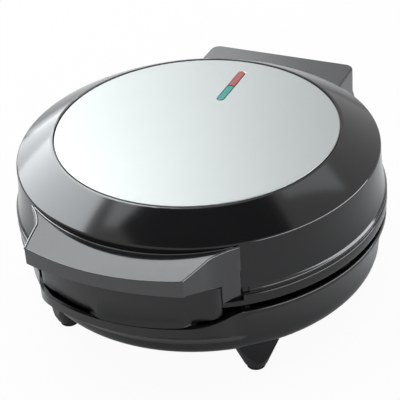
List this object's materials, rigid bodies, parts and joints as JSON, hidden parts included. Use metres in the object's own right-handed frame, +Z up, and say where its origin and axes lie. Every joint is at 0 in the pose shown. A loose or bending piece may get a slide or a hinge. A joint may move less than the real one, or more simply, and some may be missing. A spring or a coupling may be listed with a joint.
{
  "type": "pizzelle maker",
  "caption": "Round countertop pizzelle maker: hinged lid with steel disc and signal lenses, patterned cooking plates, bowed handle and low feet.",
  "frame": {"origin": "on the table, under the middle of the whole appliance (midway between the handle front and the hinge hood rear)", "axes": "+Z up, -Y towards the handle (the front), +Y towards the hinge, X across; the appliance is the same on both sides of X = 0 but for its cord gland, the fuse clip and the pad under the lower handle, which reaches further to +X"},
  "size_m": [0.2242, 0.2728, 0.1091],
  "materials": {
    "base_plastic": "gloss",
    "lid_plastic": "gloss",
    "handle_plastic": "gloss",
    "hood_plastic": "semi-gloss",
    "inner_plastic": "matte",
    "rubber": "matte",
    "plate_coating": "satin coating",
    "heater_steel": "oxidised",
    "reflector_sheet": "satin",
    "disc_steel": "brushed",
    "zinc_screws": "zinc plated",
    "pin_steel": "turned",
    "ceramic": "matte",
    "terminal_plastic": "matte",
    "red_lens": "gloss",
    "green_lens": "gloss",
    "lamp_glass": "clear"
  },
  "bodies": {
    "base": {"base_shell": "base_plastic", "base_handle": "handle_plastic", "base_cover": "inner_plastic", "feet": "inner_plastic", "foot_pads": "rubber", "cover_screws": "zinc_screws", "base_handle_screws": "zinc_screws", "lower_cooking_plate": "plate_coating", "lower_heating_element": "heater_steel", "lower_reflector": "reflector_sheet", "lower_spacers": "reflector_sheet", "thermostat": "ceramic", "thermal_fuse": "ceramic", "fuse_clip": "reflector_sheet", "clip_screws": "zinc_screws", "terminal_block": "terminal_plastic", "terminal_screws": "zinc_screws", "cord_gland": "rubber", "hinge_ears": "base_plastic", "hinge_pins": "pin_steel"},
    "lid": {"lid_shell": "lid_plastic", "lid_deck": "lid_plastic", "lid_handle": "handle_plastic", "lid_handle_screws": "zinc_screws", "hinge_hood": "hood_plastic", "hinge_hood_screws": "zinc_screws", "steel_disc": "disc_steel", "lens_holder": "inner_plastic", "red_lens": "red_lens", "green_lens": "green_lens", "red_lamp": "lamp_glass", "green_lamp": "lamp_glass", "upper_cooking_plate": "plate_coating", "upper_heating_element": "heater_steel", "upper_reflector": "reflector_sheet", "upper_spacers": "reflector_sheet", "deck_screws": "zinc_screws"}
  },
  "joints": [
    {"name": "lid_hinge", "type": "hinge", "parent": "base", "child": "lid", "pos_m": [0, 0.12085, 0.061], "axis": [-1, 0, 0], "range_deg": [0, 97]}
  ]
}
